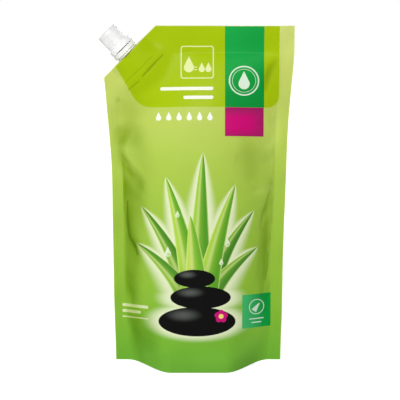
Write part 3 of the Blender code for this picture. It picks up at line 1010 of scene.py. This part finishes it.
def foldShadeLines(start, creases):
    # hairlines along the sharp creases, thin at both ends, for painted shade and a groove
    u, v = filmCoordinates(start, "film")
    lines = None
    for kind, depth, width, points in creases:
        if kind != "sharp":
            continue
        for number, (here, there) in enumerate(zip(points, points[1:])):
            length = math.dist(here, there)
            right, up = (there[0] - here[0]) / length, (there[1] - here[1]) / length
            along = (u - here[0]) * right + (v - here[1]) * up - length / 2
            across = (v - here[1]) * right - (u - here[0]) * up
            beyond = (abs(along) - length / 2).most(0.0)
            thick = width * (0.85 if 0 < number < len(points) - 2 else 0.6)
            line = (1 - lengthOf(across, beyond).between(0.0, thick)) * min(1.0, depth * 1.3)
            lines = line if lines is None else lines.most(line)
    return lines


def paintedFoldShade(start, shade, foldShadeAndGroove):
    # painted shade: the print darkened along the crease hairlines
    return multiplied(start, shade, mixColours(foldShadeAndGroove, colour(255, 255, 255), ink("paintedFoldShade")))


def filmFinish(start, shader, foldShadeAndGroove=0.0):
    # soft gloss with a slight orange peel, small wrinkles and the hairline folds
    places = start.node("ShaderNodeTexCoord", output="Object")
    broad = start.node("ShaderNodeTexNoise", None, {"Vector": places, "Scale": 38.0, "Detail": 3.0})
    fine = start.node("ShaderNodeTexNoise", None, {"Vector": places, "Scale": 900.0, "Detail": 2.0})
    wrinkles = {"Vector": places, "Scale": 120.0, "Detail": 4.0, "Distortion": 0.6}
    crumple = start.node("ShaderNodeTexNoise", None, wrinkles)
    rough = filmPrint["roughness"] + (broad - 0.5) * 0.12 + (fine - 0.5) * 0.05
    height = fine * 0.05 + crumple * 0.35 + broad * 0.6 - foldShadeAndGroove * 0.5
    bump = start.node("ShaderNodeBump", None, {"Strength": 0.35, "Distance": 0.0009, "Height": height})
    plug(shader, Roughness=rough, Normal=bump)


def filmMaterial(name):
    return newMaterial(name, filmPrint["roughness"], Specular_IOR_Level=filmPrint["gloss"])


def finishedPrint(material, start, shader, shade, creases):
    # the print with painted shade along its folds, painted shade and light along the shading strokes, and a
    # painted highlight along the cut edge
    foldShadeAndGroove = foldShadeLines(start, creases)
    plug(shader, Base_Color=paintedRimHighlight(start, paintedFoldShade(start, withPaintedShading(start, shade), foldShadeAndGroove)))
    filmFinish(start, shader, foldShadeAndGroove)
    return material


def filmCoordinates(start, layer):
    film = start.node("ShaderNodeUVMap", {"uv_map": layer})
    return (start.node("ShaderNodeSeparateXYZ", None, {0: film}, output=side) for side in (0, 1))


motif = {
    "leaves": [  # x, y, length, width, lean, bend, dark, light
        (-7, 60, 84, 18, -17, -16, (74, 138, 40), (134, 188, 60)),
        (7, 60, 80, 18, 17, 16, (68, 132, 40), (128, 184, 56)),
        (-8, 58, 62, 17, -30, -14, (80, 146, 44), (146, 196, 66)),
        (8, 58, 58, 17, 30, 14, (74, 140, 42), (138, 190, 62)),
        (1, 60, 120, 22, 0, 3, (84, 154, 42), (164, 212, 66)),
        (-4, 58, 104, 21, -7, -10, (96, 166, 42), (178, 220, 72)),
        (6, 58, 98, 21, 9, 9, (92, 162, 40), (172, 216, 68)),
        (-1, 56, 72, 22, -2, -3, (110, 178, 46), (196, 226, 92)),
    ],
    "stones": [(-1, 38.5, 32, 12.5), (2, 59, 25, 9.5), (-3, 75, 17, 7.5)],
    "stone": (14, 15, 14),
    "stoneLight": (96, 100, 96),
    "margin": (222, 232, 150),
    "drops": [(-25, 96, 2.6), (24, 104, 2.2), (19, 88, 1.7), (-17, 128, 1.8)],
    "blossom": (19, 43, 2.5),
    "petal": (206, 22, 122),
    "heart": (250, 226, 120),
    "drop": (236, 246, 214),
    "glint": (150, 200, 90),
}


def paintMotif(start, shade, u, v):
    # pale glow, leaves, dark stones, drops and one blossom
    shapes = [leaf(u, v, *row[:6]) for row in motif["leaves"]]
    near = None
    for row, (mask, across, along) in zip(motif["leaves"], shapes):
        side = ((abs(across) - 1) * (0.35 * row[3])).most(0.0)
        past = ((along - 1) * row[2]).most(along * -row[2]).most(0.0)
        far = lengthOf(side, past)
        near = far if near is None else near.least(far)
    for x, y, halfWide, halfHigh in motif["stones"]:
        far = lengthOf(u - x, (v - y) * (halfWide / halfHigh)) - halfWide
        near = near.least(far.most(0.0) * 0.8)
    shade = mixColours((1 - near.between(0.0, 13.0)) * 0.9, shade, ink("glow"))
    for row, (mask, across, along) in zip(motif["leaves"], shapes):
        dark, light = row[6:]
        inner = mixColours(across.between(-1.0, 0.7), colour(*light), colour(*dark))
        vein = (1 - abs(across + 0.35).between(0.05, 0.35)) * 0.5
        inner = mixColours(vein, inner, colour(*motif["margin"]))
        inner = mixColours(abs(across).between(0.82, 0.98) * 0.75, inner, colour(*motif["margin"]))
        inner = mixColours(along.between(0.35, 0.0) * 0.6, inner, colour(*dark))
        shade = mixColours(mask, shade, inner)
    for x, y, halfWide, halfHigh in motif["stones"]:
        ratio = halfWide / halfHigh
        far = lengthOf(u - x, (v - y) * ratio) / halfWide
        lit = lengthOf(u - x + halfWide * 0.35, (v - y - halfHigh * 0.45) * ratio) / halfWide
        gleam = (1 - lit.between(0.0, 0.55)) * 0.8
        stone = mixColours(gleam, colour(*motif["stone"]), colour(*motif["stoneLight"]))
        shade = mixColours(far.under(1.0, 0.7 / halfWide), shade, stone)
    for x, y, radius in motif["drops"]:
        shade = mixColours(drop(u, v, x, y, radius) * 0.85, shade, colour(*motif["drop"]))
        glint = disc(u, v, x + 0.3 * radius, y - 0.2 * radius, 0.55 * radius, soft=1.2) * 0.6
        shade = mixColours(glint, shade, colour(*motif["glint"]))
    x, y, radius = motif["blossom"]
    for number in range(5):
        turn, away = 2 * math.pi * number / 5 + 0.3, 1.25 * radius
        petal = disc(u, v, x + away * math.cos(turn), y + away * math.sin(turn), radius)
        shade = mixColours(petal, shade, colour(*motif["petal"]))
    return mixColours(disc(u, v, x, y, 0.8 * radius), shade, colour(*motif["heart"]))


def panelMask(u, v):
    # dark lime panel: slanted left side, round lower corners
    down, corner, lean = 218.0, 19.0, 0.493
    slant = 0.870 * (u + 57.1) + lean * (v - 233.6)  # distance from the slanted side
    side, foot = (corner - slant).most(0.0), (corner + down - v).most(0.0)
    over = 1 - lean * lean
    bySide = (side * side + ((foot - side * lean).most(0.0) ** 2) / over).root()
    byFoot = (foot * foot + ((side - foot * lean).most(0.0) ** 2) / over).root()
    rightCorner = lengthOf((10 - (66.6 - u)).most(0.0), (10 - (v - down)).most(0.0))
    return bySide.least(byFoot).under(corner, 0.4) * rightCorner.under(10, 0.4)


def frontPrint():
    material, start, shader = filmMaterial("printed_front")
    u, v = filmCoordinates(start, "print")
    shade = filmGreen(start, v)
    shade = paintMotif(start, shade, u, v)
    shade = mixColours(panelMask(u, v), shade, ink("panel"))
    # painted shade: the stripe darker low down and towards its right
    lit = v.between(219, 262) * (1 - u.between(20, 60) * 0.4)
    stripe = mixColours(lit, ink("stripeShaded"), ink("stripe"))
    shade = mixColours(rounded(u, v, 21.9, 54.1, 217.8, 320), shade, stripe)
    # painted shade: the square darker towards its edges, brightest in its middle
    bright = v.between(217, 208) * v.between(192, 201) * (1 - u.between(40, 56)) * u.between(16, 27)
    field = mixColours(bright, ink("magentaShaded"), ink("magenta"))
    shade = mixColours(rounded(u, v, 21.8, 53.8, 193.8, 217.8), shade, field)
    # pale outlined frame with three drops
    frameOuter = rounded(u, v, -14.4, 12.8, 241.7, 269.3, 2.2)
    frameInner = rounded(u, v, -13.5, 11.9, 242.6, 268.4, 1.5)
    frameLine = frameOuter * (1 - frameInner)
    signs = frameLine.most(bars(u, v, [(-3.4, -0.9, 251.4), (-3.4, -0.9, 249.2)], 0.8))
    for x, y, radius in ((-7.6, 251.2, 4.1), (3.0, 249.6, 2.5), (8.4, 249.6, 2.5)):
        signs = signs.most(drop(u, v, x, y, radius))
    shade = mixColours(signs * 0.85, shade, ink("pale"))
    # two plain rules and a row of drops
    rules = bars(u, v, [(-31.0, 12.4, 233.4), (-12.0, 12.4, 226.0)], 2.8)
    for number in range(6):
        rules = rules.most(drop(u, v, 9.6 - 8.4 * number, 209.0, 2.2))
    shade = mixColours(rules * 0.92, shade, ink("white"))
    # two rings about a drop on the stripe
    x, y = 37.5, 240.0
    rings = hoop(u, v, x, y, 11.9, 1.1).most(hoop(u, v, x, y, 9.6, 0.35))
    shade = mixColours(rings.most(drop(u, v, x, y - 2.6, 4.6)) * 0.93, shade, ink("sign"))
    # left rules, a little slanted
    slope = v + (u + 52) * 0.06
    left = bars(u, slope, [(-64.0, -41.5, 50.6), (-64.0, -48.0, 45.6)], 2.6)
    left = left.most(bars(u, slope, [(-64.0, -41.5, 40.6)], 1.2))
    shade = mixColours(left * 0.85, shade, ink("leftRules"))
    # square badge, right
    level = v - (u - 36.5) * 0.058
    badge = rounded(u, level, 36.6, 61.0, 31.7, 60.6)
    # painted shade: the badge darker towards the right, where the flank turns away
    inside = mixColours(u.between(37, 58), ink("badgeLit"), ink("badge"))
    shade = mixColours(badge, shade, inside)
    mark = hoop(u, level, 48.8, 49.6, 6.2, 0.7).most(leaf(u, level, 46.4, 46.2, 8.2, 4.6, 34, 0.6)[0])
    mark = mark.most(bars(u, level, [(42.5, 55.0, 39.4), (44.5, 53.0, 36.2)], 0.9))
    shade = mixColours(mark * 0.85, shade, ink("sign"))
    return finishedPrint(material, start, shader, shade, frontCreases)


def backPrint():
    material, start, shader = filmMaterial("printed_back")
    u, v = filmCoordinates(start, "print")
    shade = filmGreen(start, v)
    # the same panel and stripe as the front, then a plain pale table of rules
    shade = mixColours(panelMask(-u, v), shade, ink("panel"))
    shade = mixColours(rounded(u, v, -54.1, -21.9, 217.8, 320), shade, ink("stripe"))
    shade = mixColours(rounded(u, v, -53.8, -21.8, 193.8, 217.8), shade, ink("magenta"))
    table = rounded(u, v, -44, 44, 62, 176, 4.0)
    shade = mixColours(table * 0.8, shade, ink("glow"))
    row = (v - 66).pingPong(2.6)
    rule = row.under(0.55, 0.3) * rounded(u, v, -38, 36, 80, 170) * (1 - rounded(u, v, -60, 60, 122, 130))
    shade = mixColours(rule * 0.6, shade, ink("backRules"))
    shade = mixColours(bars(u, v, [(-38, 10, 126)], 2.4), shade, ink("badge"))
    shade = mixColours(drop(u, v, 26, 234, 6.0) * 0.9, shade, ink("pale"))
    return finishedPrint(material, start, shader, shade, backCreases)


def baseFilm():
    material, start, shader = filmMaterial("base_film")
    u, v = filmCoordinates(start, "film")
    plug(shader, Base_Color=withPaintedShading(start, filmGreen(start, v)))
    filmFinish(start, shader)
    return material


def cutEdge():
    return newMaterial("laminate_edge", 0.5, Base_Color=ink("cutEdge"))[0]


for made in (frontPrint(), backPrint(), baseFilm(), cutEdge()):
    pouchFilm.data.materials.append(made)
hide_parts("pouch")
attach(pouchFilm, "pack")
print("film printed")


# Moulded plastics and the liner's foam

plastics = {
    "capWhite": (242, 242, 242),
    "collarLitWhite": (252, 252, 252),
    "bandMilk": (248, 249, 242),
    "spoutMilk": (240, 243, 228),
    "foam": (236, 236, 230),
}


def mouldedPlastic(name, tint, roughness, graining, foot=None):
    # satin moulding: faint flow clouds, very fine grain, and, where a foot colour is given, a whiter foot
    # band that is painted light
    material, start, shader = newMaterial(name, roughness)
    places = start.node("ShaderNodeTexCoord", output="Object")
    clouds = start.node("ShaderNodeTexNoise", None, {"Vector": places, "Scale": 160.0, "Detail": 3.0})
    grain = start.node("ShaderNodeTexNoise", None, {"Vector": places, "Scale": 5200.0, "Detail": 2.0})
    red, green, blue = tint
    dim, bright = colour(red - 3, green - 3, blue - 4), colour(red + 2, green + 2, blue + 2)
    warm = mixColours(clouds.between(0.35, 0.65), dim, bright)
    if foot is not None:
        x, z = (start.node("ShaderNodeSeparateXYZ", None, {0: places}, output=side) for side in (0, 2))
        height = (spoutFoot.x - x + z - spoutFoot.z) / root2 * 1000  # along the spout, in millimetres
        # painted light: the foot band below the shoulder line is whiter than the body
        line = 1000 * (cap["foot"] + cap["collarHeight"])
        warm = mixColours(1 - height.between(line - 0.3, line + 0.6), warm, colour(*foot))
    relief = {"Strength": graining, "Distance": 0.00006, "Height": grain + clouds * 0.6}
    bump = start.node("ShaderNodeBump", None, relief)
    rough = roughness + (clouds - 0.5) * 0.14 + (grain - 0.5) * 0.05
    plug(shader, Base_Color=warm, Roughness=rough, Normal=bump)
    return material


def linerFoam():
    material, start, shader = newMaterial("liner_foam", 0.85)
    places = start.node("ShaderNodeTexCoord", output="Object")
    cells = start.node("ShaderNodeTexVoronoi", None, {"Vector": places, "Scale": 2600.0})
    red, green, blue = plastics["foam"]
    dim = colour(red - 22, green - 22, blue - 24)
    shade = mixColours(cells.between(0.1, 0.7), colour(red, green, blue), dim)
    bump = start.node("ShaderNodeBump", None, {"Strength": 0.4, "Distance": 0.0001, "Height": 1 - cells})
    plug(shader, Base_Color=shade, Roughness=0.78 + cells * 0.15, Normal=bump)
    return material


capWhite = mouldedPlastic("cap_white", plastics["capWhite"], 0.40, 0.35, foot=plastics["collarLitWhite"])
bandMilk = mouldedPlastic("band_milk", plastics["bandMilk"], 0.34, 0.25)
spoutMilk = mouldedPlastic("spout_milk", plastics["spoutMilk"], 0.30, 0.2)
for piece, made, node, body, slot in (
    (screwCap, capWhite, "cap", "closure", "white_plastic"),
    (tamperBand, bandMilk, "tamper_ring", "pack", "white_plastic"),
    (pourSpout, spoutMilk, "spout", "pack", "natural_plastic"),
):
    piece.data.materials.clear()
    piece.data.materials.append(made)
    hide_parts(node)
    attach(piece, body)
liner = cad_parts["cap_liner"]
for place in liner.material_slots:
    place.material = linerFoam()
print("plastics done")


# Studio

stage = {
    "distance": 1.361,
    "target": (0.0015, 0.0, 0.1409),
    "lens": 146.97,
    "lamps": [  # name, place, aim, size and watts
        ("key_front", (-0.25, -2.3, 1.45), (0, 0, 0.10), (0.8, 0.6), 49),
        ("fill_left", (-1.9, -0.4, 0.35), (-0.05, 0, 0.2), (0.7, 0.6), 7),
        ("back_light", (0.9, 2.2, 1.3), (0, 0, 0.12), (0.9, 0.7), 46),
    ],
}


def makeCamera():
    data = bpy.data.cameras.new("photo_camera")
    data.lens = stage["lens"]
    data.sensor_width = 36.0
    camera = bpy.data.objects.new("photo_camera", data)
    bpy.context.scene.collection.objects.link(camera)
    tilt = math.radians(lookDown)
    back = Vector((0, -math.cos(tilt), math.sin(tilt))) * stage["distance"]
    camera.location = Vector(stage["target"]) + back
    camera.rotation_euler = (math.pi / 2 - tilt, 0, 0)
    data.clip_start = 0.05
    bpy.context.scene.camera = camera


def areaLight(name, place, aim, size, power):
    data = bpy.data.lights.new(name, "AREA")
    data.shape = "RECTANGLE"
    data.size, data.size_y = size
    data.energy = power
    lamp = bpy.data.objects.new(name, data)
    bpy.context.scene.collection.objects.link(lamp)
    lamp.location = place
    lamp.rotation_euler = (Vector(aim) - Vector(place)).to_track_quat("-Z", "Y").to_euler()


def makeStage():
    deselectAll()
    bpy.ops.mesh.primitive_plane_add(size=8.0, location=(0, 0, 0))
    floor = namedPiece("studio_floor")
    grey = (0.55, 0.55, 0.55, 1)
    material, start, shader = newMaterial("studio_white", 0.9, Base_Color=grey, Specular_IOR_Level=0.0)
    path = start.node("ShaderNodeLightPath", output="Is Camera Ray")
    glow = start.node("ShaderNodeEmission", None, {"Color": (1, 1, 1, 1), "Strength": path * 0.89})
    both = start.node("ShaderNodeAddShader", None, {0: Wire(start.tree, shader.outputs[0]), 1: glow})
    start.tree.links.new(both.out, start.tree.nodes["Material Output"].inputs["Surface"])
    floor.data.materials.append(material)
    world = bpy.data.worlds.new("studio_world")
    bpy.context.scene.world = world
    world.use_nodes = True
    air = Wire(world.node_tree)
    seen = air.node("ShaderNodeLightPath", output="Is Camera Ray")
    strength = seen * 0.78 + 0.22
    world.node_tree.links.new(strength.out, world.node_tree.nodes["Background"].inputs["Strength"])
    world.node_tree.nodes["Background"].inputs["Color"].default_value = (1, 1, 1, 1)
    for lamp in stage["lamps"]:
        areaLight(*lamp)


makeCamera()
makeStage()
bpy.context.scene.view_settings.view_transform = "Standard"
